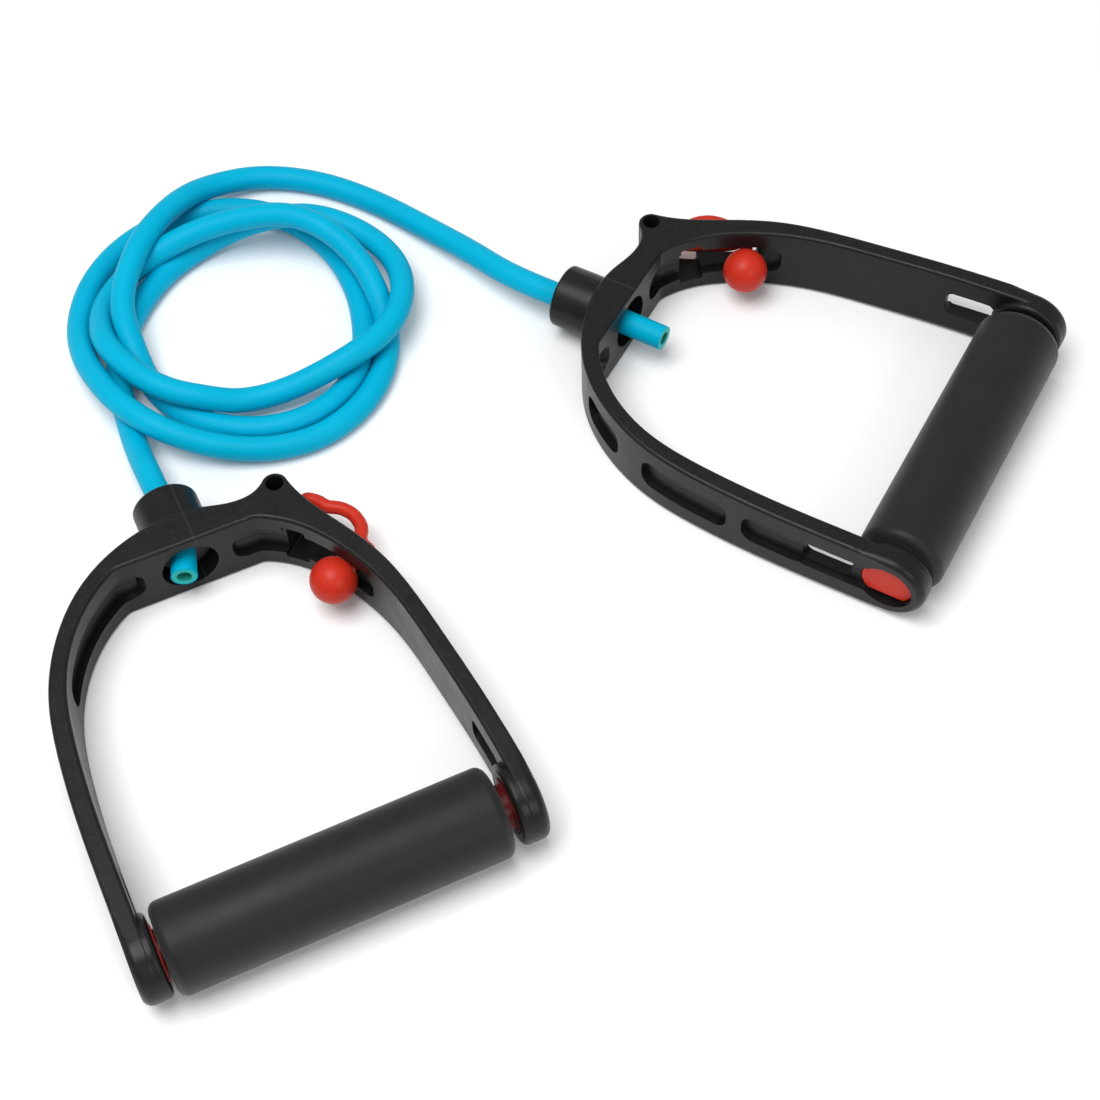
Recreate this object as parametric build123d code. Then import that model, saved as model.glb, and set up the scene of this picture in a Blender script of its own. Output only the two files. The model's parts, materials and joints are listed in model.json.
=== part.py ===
from build123d import *
import os
from math import asin, degrees, hypot, radians, tan

# Resistance band: a latex tube with a stirrup handle on each end, in millimetres.
# World frame: X right, Y away, Z up. The origin is under the centre of the two handles.
# Each handle is drawn in its own frame: X along the grip, Y from the grip towards the
# tube, Z up through the band. Then it is laid down where it rests.

# Handle frame: a moulded band, bent into a stirrup
BAND = 29.0                 # height of the band
RIM = 1.2                   # rounding of its rims
OUTER_X = 70.3              # outer face of the arms at the grip
INNER_X = 63.4              # inner face of the arms at the grip
ARM_END_Y = -18.0           # the arms are drawn past the grip, then rounded
FACET_Y = 134.6             # flat inner face behind the tube hole
FACET_ROUND = 5.0
OUTER_LEFT = [(-OUTER_X, ARM_END_Y), (-69.8, 36.0), (-68.2, 72.5), (-64.2, 96.3), (-54.4, 118.1),
              (-41.4, 133.6), (-26.9, 142.9), (-6.2, 148.3), (6.2, 147.6), (16.5, 144.9),
              (24.5, 144.8), (30.9, 148.2)]
OUTER_RIGHT = [(39.4, 146.6), (44.5, 130.5), (49.9, 119.8), (58.0, 101.5), (62.3, 82.9),
               (65.0, 62.1), (67.8, 36.0), (OUTER_X, ARM_END_Y)]
INNER_LEFT = [(-INNER_X, ARM_END_Y), (-62.9, 40.0), (-61.3, 74.0), (-56.5, 100.0), (-44.8, 121.0),
              (-28.5, FACET_Y)]
INNER_RIGHT = [(22.8, FACET_Y), (36.8, 123.9), (44.5, 112.7), (51.0, 98.8), (55.6, 82.9),
               (58.6, 62.0), (61.5, 34.0), (INNER_X, ARM_END_Y)]
EAR_R = BAND / 2            # rounded end of each arm
EAR_ROUND = 3.5             # rounding of each ear's outer edge
EAR_BLEND_Y = 18.0          # where that has thinned down to the rounding of the rims
BOSS_X = 60.3               # inner face of the round boss on each ear
BOSS_ROUND = 1.8
SEAT_R = 10.0               # round seat for the stud
LUG = (34.8, 145.2)         # centre of the upright hole in the horn
LUG_HOLE_R = 3.3
LUG_R = 4.9

# Slots and sunk pockets along the band
SLOT_H = 13.4
SLOT_ROUND = 5.0
EAR_SLOT = (12.5, 31.5)
EAR_SLOT_H = 11.4
EAR_SLOT_ROUND = 3.0
EAR_RECESS = (0.0, 31.5)    # shallow recess round it, which runs into the seat of the stud
EAR_RECESS_ROUND = 2.0
TOGGLE_SLOT_H = 9.0         # just clears the neck of the toggle
TOGGLE_SLOT_ROUND = 3.0
WINDOW_H = 18.2             # the ball passes through here
POCKET_DEPTH = 2.7
LOW_POCKET = (29.0, 55.0)
HIGH_POCKET = (60.5, 97.0)

# Tube and the way it is held
TUBE_R = 4.75
TUBE_BORE_R = 2.6
PULL_X = -3.0               # the pull line lies a little towards the plain arm
COLLAR_R = 12.2
COLLAR_Y = 164.0
MOUTH_R = 6.2
MOUTH_Y = 151.0             # where the narrow mouth begins
BORE_R = 10.5
COLLET_Y = (142.0, MOUTH_Y)
PLUG_Y = (140.0, 157.0)
TUBE_OUT_Y = 166.0          # the tube is drawn with the handle as far as this

# Grip
GRIP_Y = -1.0               # its axis lies along X at this station
GRIP_R = 16.0
GRIP_L = 116.0
GRIP_ROUND = 3.5
CORE_R = 8.0
CORE_BORE_R = 5.8
CORE_CLEARANCE = 0.08       # the sleeve turns on the core
CORE_X = 59.9               # each end of the core, next to a boss
STUD_R = 9.8
STUD_FLATS = 14.0
STUD_FACE = 67.6
STUD_ROOT = 50.0

# Ball toggle, in a frame of its own: X out through the wall, Y along the slot
TOGGLE = (46.7, 109.4)
TOGGLE_HEADING = 23.8
BALL_R = 8.6
BALL_X = -6.4
NECK_R = 2.6
KNOT = (7.8, 12.6)          # where both ends of the loop meet the neck
KNOT_R = 3.4
LOOP_R = 2.5
LOOP_OUT = [(10.3, 0.2, 0.3), (11.8, 4.7, 0.5), (16.5, 8.1, 0.5), (18.4, 14.5, 0.6), (17.3, 20.0, 0.6),
            (14.3, 24.1, 0.6), (14.1, 28.1, 0.6), (11.9, 33.3, 0.4), (11.5, 33.3, -5.8), (11.3, 26.5, -6.0)]
LOOP_BACK = [(11.3, 26.5, -6.0), (11.1, 19.7, -6.2), (10.6, 9.0, -5.2), (10.5, 0.0, -1.2)]

# Placement of the handles
LEAN = degrees(asin((GRIP_R - EAR_R) / 152.0))   # the grip is thicker than the band
HANDLES = {
    "left": dict(at=(-87.4, -120.3), heading=23.0, sleeve_shift=-1.0,
                 tube=[(-3.4, TUBE_OUT_Y), (-2.8, 144.5), (-6.6, 131.2)]),
    "right": dict(at=(137.3, 42.4), heading=59.3, sleeve_shift=-0.2,
                  tube=[(-4.2, TUBE_OUT_Y), (-3.9, 146.0), (-4.5, 119.2)]),
}

# Free tube: it leaves each collar straight, sinks to the ground and runs into the coil.
# These points follow the first two of each run, which lie on the tube's axis in the collar.
EXIT_RUN = {"left": 13.0, "right": 20.0}     # straight tube before its first bend
LEFT_RUN = [(-166.5, 56.7, 9.0), (-171.2, 69.3, 5.6)]
RIGHT_RUN = [(-42.0, 151.9, 10.4), (-61.4, 170.0, 6.6), (-80.8, 186.0, 4.8), (-104.2, 198.4, 4.8),
             (-128.2, 202.6, 5.4), (-146.8, 195.8, 8.6), (-159.4, 181.4, 16.0)]
ARC_SHARE = 0.45            # share of the shorter run that each arc takes up

# Coil: three loose turns, drawn as the ring that they fill
COIL_AT = (-133.0, 122.1)
COIL_OUTER = (69.0, 68.0)
COIL_HOLE_SHIFT = 2.0
COIL_HOLE = (42.0, 34.0)
COIL_H = 22.0
COIL_GAP = 0.05             # between the coil and the end of each free run


def arc_radii(points):
    """Radius of each corner's arc: as large as its two runs allow."""
    vectors = [Vector(*p) for p in points]
    runs = [b - a for a, b in zip(vectors, vectors[1:])]
    radii = []
    for before, after in zip(runs, runs[1:]):
        turn = radians(before.get_angle(after))
        radii.append(ARC_SHARE * min(before.length, after.length) / tan(turn / 2))
    return radii


def rod(points, radius):
    """A round rod along straight runs joined by tangent arcs."""
    path = FilletPolyline(*points, radius=arc_radii(points))
    section = Plane(origin=path @ 0, z_dir=path % 0) * Circle(radius)
    return sweep(section, path=path)


def upright(radius, length):
    """A cylinder that stands on the XY plane."""
    return Cylinder(radius, length, align=(Align.CENTER, Align.CENTER, Align.MIN))


def lying_cylinder(radius, x0, x1):
    """A cylinder on the grip's axis, between two stations."""
    return Pos(x0, GRIP_Y, 0) * Rot(0, 90, 0) * upright(radius, x1 - x0)


def pull_cylinder(radius, y0, y1, x=PULL_X):
    """A cylinder along Y, on the pull line."""
    return Pos(x, y0, 0) * Rot(-90, 0, 0) * upright(radius, y1 - y0)


def slot_prism(start, end, height=SLOT_H, corner=SLOT_ROUND, across=40.0):
    """A prism with rounded ends that cuts a slot from start to end through the band."""
    a, b = Vector(*start), Vector(*end)
    along = b - a
    plane = Plane(origin=(a + b) / 2, x_dir=along, z_dir=along.cross(Vector(0, 0, 1)))
    return extrude(plane * RectangleRounded(along.length, height, corner), across / 2, both=True)


def moved_aside(points, distance):
    """The points of a path, each moved to the left of its direction of travel."""
    moved = []
    for i, (x, y) in enumerate(points):
        x0, y0 = points[max(i - 1, 0)]
        x1, y1 = points[min(i + 1, len(points) - 1)]
        length = hypot(x1 - x0, y1 - y0)
        moved.append((x - distance * (y1 - y0) / length, y + distance * (x1 - x0) / length))
    return moved


def outer_region(grow=0.0):
    """Plan of the band's outer side, with the horn on the right-hand arm."""
    left, right = moved_aside(OUTER_LEFT, grow), moved_aside(OUTER_RIGHT, grow)
    horn = ThreePointArc(left[-1], (LUG[0], LUG[1] + LUG_R + grow), right[0])
    return make_face(Spline(*left) + horn + Spline(*right) + Line(right[-1], left[0]))


def inner_region(grow=0.0):
    """Plan of the space inside the band, grown outwards for a sunk pocket."""
    left, right = moved_aside(INNER_LEFT, grow), moved_aside(INNER_RIGHT, grow)
    left[-1] = (INNER_LEFT[-1][0] - grow / 2, FACET_Y + grow)
    right[0] = (INNER_RIGHT[0][0] + grow / 2, FACET_Y + grow)
    face = make_face(Spline(*left) + Line(left[-1], right[0]) + Spline(*right) + Line(right[-1], left[0]))
    corners = face.vertices().filter_by_position(Axis.Y, FACET_Y + grow - 1, FACET_Y + grow + 1)
    return fillet(corners, FACET_ROUND)


def band():
    """The bent band with rounded ears and softened rims, before anything is cut."""
    plan = outer_region() - inner_region()
    solid = extrude(plan, BAND / 2, both=True)
    keep = Pos(0, GRIP_Y + 100, 0) * Box(300, 200, BAND) + lying_cylinder(EAR_R, -100, 100)
    solid = (solid & keep).solid()
    rims = [edge for edge in solid.edges() if abs((edge @ 1 - edge @ 0).Z) < BAND - 1]
    return fillet(rims, RIM)


def rounded_arms():
    """What is kept of the band, so that the outer edge of each ear is rounder than the rims."""
    ears = lying_cylinder(EAR_R, -OUTER_X, OUTER_X)
    ears = fillet(ears.edges().filter_by(GeomType.CIRCLE), EAR_ROUND)
    stations = ((GRIP_Y, EAR_ROUND), (EAR_BLEND_Y, RIM))
    blend = loft([Plane.XZ.offset(-y) * RectangleRounded(2 * OUTER_X, BAND, r) for y, r in stations])
    return ears + blend + Pos(0, EAR_BLEND_Y + 100, 0) * Box(300, 200, BAND)


def sunk_pocket(start, end, region, depth_region, corner=SLOT_ROUND):
    """A blind pocket: the skin between two plans, within a slot's outline."""
    skin = extrude(region - depth_region, SLOT_H, both=True)
    return skin & slot_prism(start, end, corner=corner)


def frame():
    """Moulded stirrup with its collar, ears, lug hole, slots and pockets."""
    body = band() & rounded_arms()
    for side in (-1, 1):
        x0, x1 = sorted((side * BOSS_X, side * (INNER_X + 1)))
        boss = lying_cylinder(EAR_R - 0.1, x0, x1)
        body += fillet(boss.edges().group_by(Axis.X)[0 if side > 0 else -1], BOSS_ROUND)
    collar = pull_cylinder(COLLAR_R, FACET_Y + 4, COLLAR_Y)
    body += fillet(collar.edges().group_by(Axis.Y)[-1], RIM)

    body -= pull_cylinder(BORE_R, FACET_Y - 5, MOUTH_Y)
    body -= pull_cylinder(MOUTH_R, MOUTH_Y - 1, COLLAR_Y + 1)
    body -= Pos(*LUG, 0) * Cylinder(LUG_HOLE_R, BAND + 2)
    outer, inner = outer_region(), inner_region()
    outer_core, inner_shell = outer_region(-POCKET_DEPTH), inner_region(POCKET_DEPTH)
    for side in (-1, 1):
        x0, x1 = sorted((side * (BOSS_X - 1), side * (OUTER_X + 1)))
        body -= lying_cylinder(SEAT_R, x0, x1)
        slot_ends = [(side * 66, y, 0) for y in EAR_SLOT]
        body -= slot_prism(*slot_ends, EAR_SLOT_H, EAR_SLOT_ROUND, 14)
        recess_ends = [(side * 66, y, 0) for y in EAR_RECESS]
        body -= sunk_pocket(*recess_ends, outer, outer_core, EAR_RECESS_ROUND)
        for y0, y1 in (LOW_POCKET, HIGH_POCKET):
            lean = side * 8.0 if y0 > LOW_POCKET[1] else 0.0
            body -= sunk_pocket((side * 66, y0, 0), (side * 66 - lean, y1, 0), outer, outer_core)
    body -= sunk_pocket((-45.0, 130.0, 0), (-58.5, 110.5, 0), outer, outer_core)
    body -= sunk_pocket((-20.0, 134.6, 0), (-57.0, 98.0, 0), inner_shell, inner)
    body -= sunk_pocket((15.0, 138.0, 0), (36.0, 126.0, 0), inner_shell, inner)
    body -= sunk_pocket((32.5, 129.0, 0), (52.0, 96.5, 0), inner_shell, inner)
    body -= slot_prism((32.5, 129.0, 0), (47.5, 104.0, 0), TOGGLE_SLOT_H, TOGGLE_SLOT_ROUND, 24)
    body -= slot_prism((32.2, 131.2, 0), (38.2, 124.4, 0), WINDOW_H, 1.0, 24)
    return body.solid()


def tube_rod(spec, radius):
    """A rod on the tube's own axis, through the collar to the cut end."""
    return rod([(x, y, 0.0) for x, y in spec["tube"]], radius)


def slab(y0, y1):
    """A thick slice across the pull line, between two distances from the grip."""
    return Pos(PULL_X, (y0 + y1) / 2, 0) * Box(40, y1 - y0, 40)


def tube_end(spec):
    """Hollow end of the tube, from just outside the collar to its cut end."""
    return tube_rod(spec, TUBE_R) - (tube_rod(spec, TUBE_BORE_R) & slab(100, COLLAR_Y - 1))


def tube_plug(spec):
    """Plug that spreads the tube inside the collet."""
    return tube_rod(spec, TUBE_BORE_R) & slab(*PLUG_Y)


def tube_collet(spec):
    """Ring at the bottom of the bore that grips the tube."""
    ring = pull_cylinder(BORE_R, *COLLET_Y)
    ring = chamfer(ring.edges().group_by(Axis.Y)[0], 1.0)
    return ring - tube_rod(spec, TUBE_R)


def grip_core(spec):
    """Tube through the grip, from boss to boss."""
    return lying_cylinder(CORE_R, -CORE_X, CORE_X) - lying_cylinder(CORE_BORE_R, -CORE_X - 1, CORE_X + 1)


def stud(side):
    """Keyed stud with two flats, from the core's bore into the seat of one ear."""
    head_x0, head_x1 = sorted((side * CORE_X, side * STUD_FACE))
    head = lying_cylinder(STUD_R, head_x0, head_x1) & Box(200, 60, STUD_FLATS)
    head = fillet(head.edges().group_by(Axis.X)[-1 if side > 0 else 0], 0.6)
    root_x0, root_x1 = sorted((side * STUD_ROOT, side * CORE_X))
    return head + lying_cylinder(CORE_BORE_R, root_x0, root_x1)


def grip_sleeve(spec):
    """Sleeve that turns on the core, pushed towards one arm."""
    sleeve = lying_cylinder(GRIP_R, -GRIP_L / 2, GRIP_L / 2)
    ends = sleeve.edges().group_by(Axis.X)
    sleeve = fillet(ends[0] + ends[-1], GRIP_ROUND)
    sleeve -= lying_cylinder(CORE_R + CORE_CLEARANCE, -GRIP_L, GRIP_L)
    return Pos(spec["sleeve_shift"], 0, 0) * sleeve


TOGGLE_PLACE = Pos(*TOGGLE, 0) * Rot(0, 0, TOGGLE_HEADING)


def toggle_rod(radius, x0, x1):
    """A cylinder along the toggle's own axis."""
    return Pos(x0, 0, 0) * Rot(0, 90, 0) * upright(radius, x1 - x0)


def toggle_ball(spec):
    """Ball on the inner side of the slot, with the neck that passes through it."""
    return TOGGLE_PLACE * (Pos(BALL_X, 0, 0) * Sphere(BALL_R) + toggle_rod(NECK_R, BALL_X, KNOT[0]))


def toggle_loop(spec):
    """Bent finger loop on the outer side, with both ends in the knot."""
    knot = toggle_rod(KNOT_R, *KNOT)
    knot = fillet(knot.edges().filter_by(GeomType.CIRCLE), 0.8)
    return TOGGLE_PLACE * (rod(LOOP_OUT, LOOP_R) + rod(LOOP_BACK, LOOP_R) + knot)


def place(spec):
    """Where a handle lies: resting on its grip and on the far rim of its band."""
    laid = Pos(*spec["at"], GRIP_R) * Rot(0, 0, spec["heading"]) * Rot(-LEAN, 0, 0)
    return laid * Pos(0, -GRIP_Y, 0)


def run_points(side, points):
    """Route of a free run: straight out of the collar, then the points given."""
    outer, bend = (Vector(*point) for point in HANDLES[side]["tube"][:2])
    ahead = (outer - bend).normalized() * EXIT_RUN[side]
    exits = [place(HANDLES[side]) * Pos(*point) for point in (outer, outer + ahead)]
    return [tuple(exit_place.position) for exit_place in exits] + points


def coil(grow=0.0):
    """Outer shape of the loose coil, a low oval ring."""
    outer = Ellipse(COIL_OUTER[0] + grow, COIL_OUTER[1] + grow)
    ring = outer - Pos(COIL_HOLE_SHIFT, 0) * Ellipse(*COIL_HOLE)
    solid = extrude(Pos(*COIL_AT) * ring, COIL_H + grow)
    return fillet(solid.edges().group_by(Axis.Z)[-1], TUBE_R)


def write(name, shape):
    """One STEP file per piece."""
    export_step(shape, f"parts/{name}.step")


os.makedirs("parts", exist_ok=True)
HANDLE_PIECES = {
    "tube_collet": tube_collet,
    "tube_plug": tube_plug,
    "tube_end": tube_end,
    "grip_core": grip_core,
    "grip_sleeve": grip_sleeve,
    "toggle_ball": toggle_ball,
    "toggle_loop": toggle_loop,
}
shared_frame = frame()
for side, spec in HANDLES.items():
    write(f"{side}_frame", place(spec) * shared_frame)
    write(f"{side}_stud_plain_arm", place(spec) * stud(-1))
    write(f"{side}_stud_horn_arm", place(spec) * stud(1))
    for name, make in HANDLE_PIECES.items():
        write(f"{side}_{name}", place(spec) * make(spec))

for side, points in (("left", LEFT_RUN), ("right", RIGHT_RUN)):
    route = run_points(side, points)
    print(side, "route", [tuple(round(c, 1) for c in point) for point in route])
    print(side, "arc radii", [round(r, 1) for r in arc_radii(route)])
    write(f"tube_run_{side}", rod(route, TUBE_R) - coil(COIL_GAP))
write("tube_coil", coil())
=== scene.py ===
import json
from math import cos, radians, sin

import bpy
from mathutils import Matrix, Vector


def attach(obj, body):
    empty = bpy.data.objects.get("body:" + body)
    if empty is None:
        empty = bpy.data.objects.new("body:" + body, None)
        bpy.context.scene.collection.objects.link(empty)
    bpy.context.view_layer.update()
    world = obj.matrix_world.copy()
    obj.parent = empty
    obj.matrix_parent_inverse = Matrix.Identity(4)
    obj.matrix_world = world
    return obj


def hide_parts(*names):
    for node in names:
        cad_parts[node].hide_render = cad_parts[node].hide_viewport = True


# Resistance band: looks, light and camera. Lengths are millimetres, unless a comment says metres.
MM = 0.001

# Moulded detail: distances from its middle at which each line starts to fade, and is gone
SEAM = (0.05, 0.25)             # parting line at mid height
APEX_SEAM = (0.10, 0.45)        # parting line over the apex
APEX_SEAM_AT = 1.0              # where it runs, along the grip from its middle
SLEEVE_RING = (0.1, 0.5)        # ring round the middle of a sleeve
WORN_FROM, WORN_TO = 13.2, 14.4  # distance from mid height over which wear sets in on the rims

# Camera
CAMERA_AT = (-14.96, -395.84, 614.5)
CAMERA_PITCH = 33.72            # from straight down, in degrees
CAMERA_ROLL = -2.1
CAMERA_LENS = 66.14
CAMERA_SENSOR = 36.0

# Tube: the two free runs, from each collar to the coil
TUBE_R = 4.75
TUBE_WALL = (4.1, 4.55)         # distances from the tube's line over which a cut turns to skin
# Painted shade: the bore side of a cut end is coloured darker than the cut
TUBE_HOLE = (2.5, 2.9)          # the same, from bore to cut
LEFT_RUN = [(-155.8, 32.1, 14.4), (-161.2, 43.9, 14.2), (-166.5, 56.7, 9.0), (-171.2, 69.3, 5.6)]
RIGHT_RUN = [(-8.4, 124.0, 14.4), (-25.8, 134.0, 14.2), (-42.0, 151.9, 10.4), (-61.4, 170.0, 6.6),
             (-80.8, 186.0, 4.8), (-104.2, 198.4, 4.8), (-128.2, 202.6, 5.4), (-146.8, 195.8, 8.6),
             (-159.4, 181.4, 16.0)]
TUBE_STUBS = {                  # where each tube bends inside its handle, and its cut end
    "left": ((-146.8, 12.5, 14.6), (-145.1, -1.2, 14.7)),
    "right": ((8.9, 114.1, 14.5), (31.7, 99.9, 14.8)),
}

# Floor and lights, in metres: each light's place, size and power in watts
FLOOR_HALF = 3
KEY = ((-0.30, -0.15, 1.20), 0.8, 13.5)
FRONT = ((0.60, -0.90, 0.75), 0.4, 3.0)
WORLD_STRENGTH = 0.50

# Colours: a pair is what a material's clouding runs between
RED = ((0.46, 0.020, 0.009, 1), (0.55, 0.031, 0.013, 1))
# Painted shade: a much darker copy of the red, for the grip core and horn-arm stud in the deep shade between
# sleeve and frame
SHADED_CORE_RED = ((0.07, 0.002, 0.002, 1), (0.10, 0.003, 0.002, 1))
FRAME_BLACK = ((0.0062, 0.0062, 0.0066, 1), (0.0098, 0.0098, 0.0104, 1))
SLEEVE_BLACK = ((0.0068, 0.0068, 0.0072, 1), (0.0105, 0.0105, 0.0111, 1))
CYAN = ((0.000, 0.350, 0.540, 1), (0.000, 0.400, 0.610, 1))
CUT_GREEN = (0.02, 0.47, 0.42, 1)
# Painted shade: the darker green inside the bore of a cut end
BORE_SHADE_GREEN = (0.02, 0.25, 0.17, 1)
COLLET_BLACK = (0.03, 0.03, 0.03, 1)
PLUG_GREEN = (0.03, 0.2, 0.18, 1)
WEAR_GREY = (0.045, 0.045, 0.047, 1)
DUST_GREY = (0.10, 0.10, 0.10, 1)

# Coil: angle clockwise in degrees, distance from the coil's centre and height of the tube there
COIL_AT = (-133.0, 122.1)
COIL_STEP = 15
TURNS = [
    (150, 53.4, 4.8), (180, 44.9, 4.8), (210, 42.8, 4.8), (240, 45.2, 4.8), (260, 47.6, 8.0),
    (280, 49.0, 14.0), (300, 56.3, 14.8), (315, 61.5, 12.5), (335, 66.2, 11.2), (355, 65.0, 14.4),
    (372, 60.5, 15.4), (390, 51.6, 15.2), (408, 44.2, 11.4), (430, 40.0, 8.0), (450, 40.7, 9.0),
    (465, 43.0, 13.5), (480, 45.6, 15.0), (510, 49.8, 16.6), (525, 52.8, 14.8), (540, 54.6, 9.8),
    (555, 56.6, 5.4), (570, 53.8, 7.0), (585, 48.0, 12.6), (600, 45.0, 15.6), (630, 42.7, 20.5),
    (655, 45.3, 23.8), (675, 48.4, 22.2), (690, 51.7, 17.0), (705, 53.8, 13.6), (720, 57.2, 6.4),
    (750, 62.8, 4.8), (780, 65.0, 4.8), (805, 62.2, 6.5), (820, 61.4, 9.5), (835, 62.2, 14.0),
    (850, 61.4, 15.2), (870, 60.6, 12.6), (885, 62.0, 9.0), (900, 64.2, 5.6), (930, 66.8, 4.8),
    (960, 66.2, 4.8), (990, 62.4, 4.8), (1020, 54.3, 4.8), (1050, 48.6, 4.8), (1080, 48.2, 4.8),
    (1110, 53.2, 4.8), (1140, 54.4, 4.8), (1170, 50.4, 4.8), (1200, 46.2, 4.8), (1215, 43.9, 4.8),
    (1230, 42.6, 6.6), (1245, 42.6, 12.6), (1260, 45.0, 15.0), (1290, 48.8, 19.0), (1305, 53.2, 20.4),
]


def metres(point):
    """A point given in millimetres."""
    return Vector(point) * MM


def between(rows, angle, column):
    """Smooth value of one column of TURNS at an angle, with no sharp change at a row."""
    i = max(k for k, row in enumerate(rows[:-1]) if row[0] <= angle)
    before, low, high, after = rows[max(i - 1, 0)], rows[i], rows[i + 1], rows[min(i + 2, len(rows) - 1)]
    span = high[0] - low[0]
    f = (angle - low[0]) / span
    start = (high[column] - before[column]) / (high[0] - before[0]) * span
    end = (after[column] - low[column]) / (after[0] - low[0]) * span
    rise = f * f * (3 - 2 * f)
    return low[column] * (1 - rise) + high[column] * rise + start * f * (1 - f) ** 2 - end * f * f * (1 - f)


def coil_points():
    """The coil's turns, wound clockwise from the left run to the right one."""
    points = []
    for angle in range(TURNS[0][0], TURNS[-1][0] + 1, COIL_STEP):
        radius = between(TURNS, angle, 1)
        height = max(between(TURNS, angle, 2), TUBE_R)
        x = COIL_AT[0] + radius * cos(radians(angle))
        y = COIL_AT[1] - radius * sin(radians(angle))
        points.append((x, y, height))
    return points


def new_object(name, data):
    """An object in the scene, from its mesh, curve, light or camera."""
    made = bpy.data.objects.new(name, data)
    bpy.context.collection.objects.link(made)
    return made


def make_tube():
    """The whole latex tube, as one smooth line from collar to collar."""
    curve = bpy.data.curves.new("latex_tube", "CURVE")
    curve.dimensions = "3D"
    spline = curve.splines.new("NURBS")
    points = LEFT_RUN + coil_points() + RIGHT_RUN[::-1]
    spline.points.add(len(points) - 1)
    for target, point in zip(spline.points, points):
        target.co = (*metres(point), 1.0)
    spline.order_u = 3
    spline.use_endpoint_u = True
    spline.resolution_u = 6
    curve.bevel_depth = TUBE_R * MM
    curve.bevel_resolution = 10
    curve.use_fill_caps = True
    return new_object("latex_tube", curve)


class Nodes:
    """A material under construction."""

    def __init__(self, name):
        self.material = bpy.data.materials.new(name)
        self.material.use_nodes = True
        self.tree = self.material.node_tree
        self.shader = self.tree.nodes["Principled BSDF"]

    def set(self, **values):
        """Sets sockets of the shader, named with underscores for spaces."""
        for name, value in values.items():
            self.shader.inputs[name.replace("_", " ")].default_value = value
        return self

    def add(self, kind, inputs=(), **settings):
        """A node with its settings, and its inputs joined or set by place."""
        node = self.tree.nodes.new(kind)
        for name, value in settings.items():
            setattr(node, name, value)
        for key, value in dict(inputs).items():
            if isinstance(value, bpy.types.NodeSocket):
                self.tree.links.new(value, node.inputs[key])
            else:
                node.inputs[key].default_value = value
        return node

    def place(self):
        """Place on the object, which moves with it."""
        return self.add("ShaderNodeTexCoord").outputs["Object"]

    def noise(self, scale, detail=3.0, roughness=0.5, vector=None):
        """Noise with its grain size given in millimetres."""
        vector = vector or self.place()
        values = {"Vector": vector, "Scale": 1 / (scale * MM), "Detail": detail, "Roughness": roughness}
        return self.add("ShaderNodeTexNoise", values).outputs["Fac"]

    def maths(self, operation, first, second=0.0):
        """One sum."""
        return self.add("ShaderNodeMath", {0: first, 1: second}, operation=operation).outputs[0]

    def spread(self, value, low, high, new_low, new_high):
        """Maps a value from one range to another, and holds it there."""
        values = {"Value": value, "From Min": low, "From Max": high, "To Min": new_low, "To Max": new_high}
        return self.add("ShaderNodeMapRange", values).outputs["Result"]

    def fade(self, distance, edges):
        """One inside the first edge and nothing outside the second, both in millimetres."""
        return self.spread(distance, edges[0] * MM, edges[1] * MM, 1.0, 0.0)

    def mix(self, factor, first, second):
        """Mixes two colours."""
        values = {0: factor, 6: first, 7: second}
        return self.add("ShaderNodeMix", values, data_type="RGBA").outputs[2]

    def join(self, value, socket):
        """Joins a value to a socket of the shader."""
        self.tree.links.new(value, self.shader.inputs[socket])

    def bump(self, layers):
        """Stacks bumps: each layer is a height and how deep it is in millimetres."""
        normal = None
        for height, depth in layers:
            values = {"Height": height, "Distance": depth * MM}
            if normal is not None:
                values["Normal"] = normal
            normal = self.add("ShaderNodeBump", values).outputs["Normal"]
        self.join(normal, "Normal")

    def along(self, origin, direction):
        """Distance in metres of each point along a direction, from an origin."""
        offset = self.add("ShaderNodeVectorMath", {0: self.place(), 1: origin}, operation="SUBTRACT")
        values = {0: offset.outputs[0], 1: direction}
        return self.add("ShaderNodeVectorMath", values, operation="DOT_PRODUCT").outputs["Value"]

    def away(self, origin, direction):
        """Distance in metres of each point from a line."""
        offset = self.add("ShaderNodeVectorMath", {0: self.place(), 1: origin}, operation="SUBTRACT")
        values = {0: offset.outputs[0], 1: direction}
        cross = self.add("ShaderNodeVectorMath", values, operation="CROSS_PRODUCT")
        return self.add("ShaderNodeVectorMath", {0: cross.outputs[0]}, operation="LENGTH").outputs["Value"]


def frame_plastic(side, pivot, across, up):
    """Black moulded plastic: spark grain, parting lines at mid height and over the apex, worn rims."""
    m = Nodes(f"{side}_frame_plastic").set(Metallic=0.0, IOR=1.46, Specular_IOR_Level=0.25)
    grain = m.noise(0.35, 2.0)
    cloud = m.noise(9.0, 4.0, 0.6)
    scuff = m.noise(1.6, 6.0, 0.7)
    height = m.maths("ABSOLUTE", m.along(pivot, up))
    seam = m.fade(height, SEAM)
    off_apex = m.maths("ABSOLUTE", m.maths("SUBTRACT", m.along(pivot, across), APEX_SEAM_AT * MM))
    apex_seam = m.fade(off_apex, APEX_SEAM)
    rim = m.spread(height, WORN_FROM * MM, WORN_TO * MM, 0.0, 1.0)
    worn = m.maths("MULTIPLY", rim, m.spread(scuff, 0.55, 0.75, 0.0, 1.0))
    base = m.mix(cloud, *FRAME_BLACK)
    pale = m.maths("MAXIMUM", m.maths("MULTIPLY", worn, 0.4), m.maths("MULTIPLY", apex_seam, 0.35))
    m.join(m.mix(pale, base, WEAR_GREY), "Base Color")
    m.join(m.spread(cloud, 0.3, 0.7, 0.30, 0.40), "Roughness")
    m.bump([(cloud, 0.10), (grain, 0.03), (seam, 0.07), (apex_seam, 0.05)])
    return m.material


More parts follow.
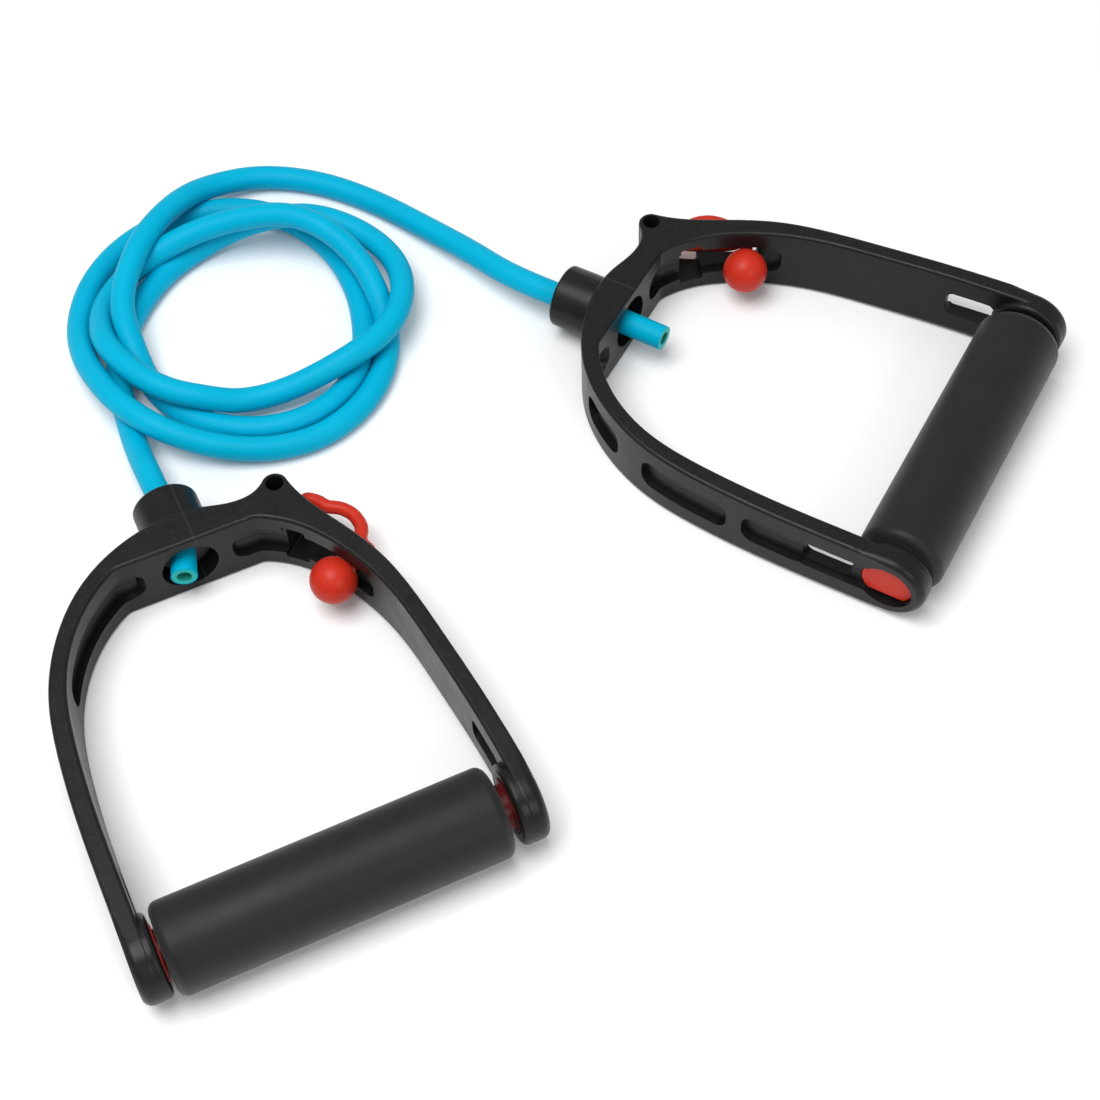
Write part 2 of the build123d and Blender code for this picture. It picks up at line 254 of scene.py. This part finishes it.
def sleeve_rubber(side, pivot, axis):
    """Matt black rubber sleeve with a faint moulding ring at mid length."""
    m = Nodes(f"{side}_grip_rubber").set(Metallic=0.0, IOR=1.48, Specular_IOR_Level=0.26)
    m.set(Sheen_Weight=0.10, Sheen_Roughness=0.5)
    grain = m.noise(0.5, 3.0)
    cloud = m.noise(14.0, 3.0)
    dust = m.spread(m.noise(2.2, 5.0, 0.65), 0.70, 0.76, 0.0, 1.0)
    middle = m.maths("ABSOLUTE", m.along(pivot, axis))
    ring = m.fade(middle, SLEEVE_RING)
    base = m.mix(cloud, *SLEEVE_BLACK)
    m.join(m.mix(m.maths("MULTIPLY", dust, 0.25), base, DUST_GREY), "Base Color")
    m.join(m.spread(cloud, 0.3, 0.7, 0.46, 0.56), "Roughness")
    m.bump([(cloud, 0.12), (grain, 0.035), (ring, 0.02)])
    return m.material


def red_plastic(name, low, high):
    """Orange-red moulded plastic, clouded between two colours."""
    m = Nodes(name).set(Metallic=0.0, IOR=1.48, Specular_IOR_Level=0.20)
    m.set(Subsurface_Weight=0.06, Subsurface_Scale=0.003, Subsurface_Radius=(1.0, 0.3, 0.15))
    cloud = m.noise(3.0, 5.0, 0.6)
    grain = m.noise(0.45, 3.0)
    m.join(m.mix(cloud, low, high), "Base Color")
    m.join(m.spread(cloud, 0.3, 0.7, 0.30, 0.44), "Roughness")
    m.bump([(cloud, 0.08), (grain, 0.02)])
    return m.material


def latex(name, cut=None):
    """Cyan latex: satin skin with faint drawing marks. A cut end shows its greener inside, with painted shade
    darkening its bore.
    """
    m = Nodes(name).set(Metallic=0.0, IOR=1.5, Specular_IOR_Level=0.07)
    m.set(Subsurface_Weight=0.10, Subsurface_Scale=0.004, Subsurface_Radius=(0.1, 0.7, 1.0))
    cloud = m.noise(18.0, 3.0)
    speck = m.noise(0.9, 5.0, 0.7)
    colour = m.mix(cloud, *CYAN)
    if cut:
        inside = m.fade(m.away(*cut), TUBE_WALL)
        # Painted shade: darker green towards the bore
        deep = m.fade(m.away(*cut), TUBE_HOLE)
        colour = m.mix(inside, colour, m.mix(deep, CUT_GREEN, BORE_SHADE_GREEN))
    m.join(colour, "Base Color")
    m.join(m.spread(speck, 0.3, 0.7, 0.36, 0.48), "Roughness")
    m.bump([(cloud, 0.15), (speck, 0.02)])
    return m.material


def hidden_plastic(name, colour):
    """Plain moulded plastic for the pieces inside the collar."""
    m = Nodes(name).set(Roughness=0.5)
    grain = m.noise(0.4, 2.0)
    m.join(m.mix(grain, colour, tuple(1.4 * part for part in colour[:3]) + (1,)), "Base Color")
    m.bump([(grain, 0.03)])
    return m.material


def dress(node, material):
    """Gives a CAD node its material."""
    for place in frame["nodes"][node].material_slots:
        place.material = material


def make_floor():
    """Plain matt white floor under the object."""
    mesh = bpy.data.meshes.new("floor")
    corners = [(x * FLOOR_HALF, y * FLOOR_HALF, 0) for x, y in ((-1, -1), (1, -1), (1, 1), (-1, 1))]
    mesh.from_pydata(corners, [], [(0, 1, 2, 3)])
    white = Nodes("floor").set(Base_Color=(0.90, 0.90, 0.90, 1), Roughness=0.9)
    mesh.materials.append(white.material)
    new_object("floor", mesh)


def area_light(name, at, size, power):
    """A soft square light that faces the middle of the floor."""
    light = bpy.data.lights.new(name, "AREA")
    light.size = size
    light.energy = power
    lamp = new_object(name, light)
    lamp.location = at
    lamp.rotation_euler = (-Vector(at)).to_track_quat("-Z", "Y").to_euler()


def make_lights():
    """Even white surroundings, a broad key from above and a smaller light from the front right."""
    world = bpy.data.worlds.new("studio")
    world.use_nodes = True
    background = world.node_tree.nodes["Background"].inputs
    background["Color"].default_value = (1, 1, 1, 1)
    background["Strength"].default_value = WORLD_STRENGTH
    bpy.context.scene.world = world
    area_light("key", *KEY)
    area_light("front", *FRONT)


def make_camera():
    """The camera, above the near side and turned down to the object."""
    data = bpy.data.cameras.new("camera")
    data.lens = CAMERA_LENS
    data.sensor_width = CAMERA_SENSOR
    camera = new_object("camera", data)
    tilt = Matrix.Rotation(radians(CAMERA_PITCH), 4, "X") @ Matrix.Rotation(radians(CAMERA_ROLL), 4, "Z")
    camera.matrix_world = Matrix.Translation(metres(CAMERA_AT)) @ tilt
    bpy.context.scene.camera = camera


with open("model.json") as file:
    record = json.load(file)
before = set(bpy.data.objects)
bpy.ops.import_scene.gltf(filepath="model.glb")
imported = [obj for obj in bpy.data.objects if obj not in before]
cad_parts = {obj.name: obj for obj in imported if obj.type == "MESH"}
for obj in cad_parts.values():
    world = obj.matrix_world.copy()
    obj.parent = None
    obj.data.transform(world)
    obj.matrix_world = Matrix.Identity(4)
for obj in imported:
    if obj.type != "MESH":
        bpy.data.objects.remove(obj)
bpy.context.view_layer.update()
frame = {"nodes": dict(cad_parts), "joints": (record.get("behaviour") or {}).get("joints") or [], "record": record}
bpy.context.scene.view_settings.view_transform = "Standard"

mounts = {mount["name"]: mount for mount in frame["record"]["mounts"]}
joints = {joint["name"]: joint for joint in frame["joints"]}
red = red_plastic("red_plastic", *RED)
# Painted shade: a darker copy of the red plastic
shaded_core_red = red_plastic("core_shaded_red_plastic", *SHADED_CORE_RED)
collet_black = hidden_plastic("collet_plastic", COLLET_BLACK)
plug_green = hidden_plastic("plug_plastic", PLUG_GREEN)
for side, (bend, tip) in TUBE_STUBS.items():
    grip = joints[f"{side}_grip_turn"]
    up = Vector(mounts[f"{side}_lug_hole"]["axis"])
    stub_line = (metres(bend), (metres(tip) - metres(bend)).normalized())
    dress(f"{side}_frame", frame_plastic(side, grip["pos_m"], grip["axis"], up))
    dress(f"{side}_grip_sleeve", sleeve_rubber(side, grip["pos_m"], grip["axis"]))
    dress(f"{side}_tube_end", latex(f"{side}_tube_end_latex", cut=stub_line))
    dress(f"{side}_tube_collet", collet_black)
    dress(f"{side}_tube_plug", plug_green)
    # Painted shade: the grip core and the horn-arm stud take the darker red, for the shade in the gaps round them
    for piece in ("grip_core", "stud_horn_arm"):
        dress(f"{side}_{piece}", shaded_core_red)
    for piece in ("stud_plain_arm", "toggle_ball", "toggle_loop"):
        dress(f"{side}_{piece}", red)

tube = make_tube()
tube.data.materials.append(latex("tube_latex"))
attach(tube, "stirrups_and_tube")
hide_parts("tube_run_left", "tube_coil", "tube_run_right")

make_floor()
make_lights()
make_camera()
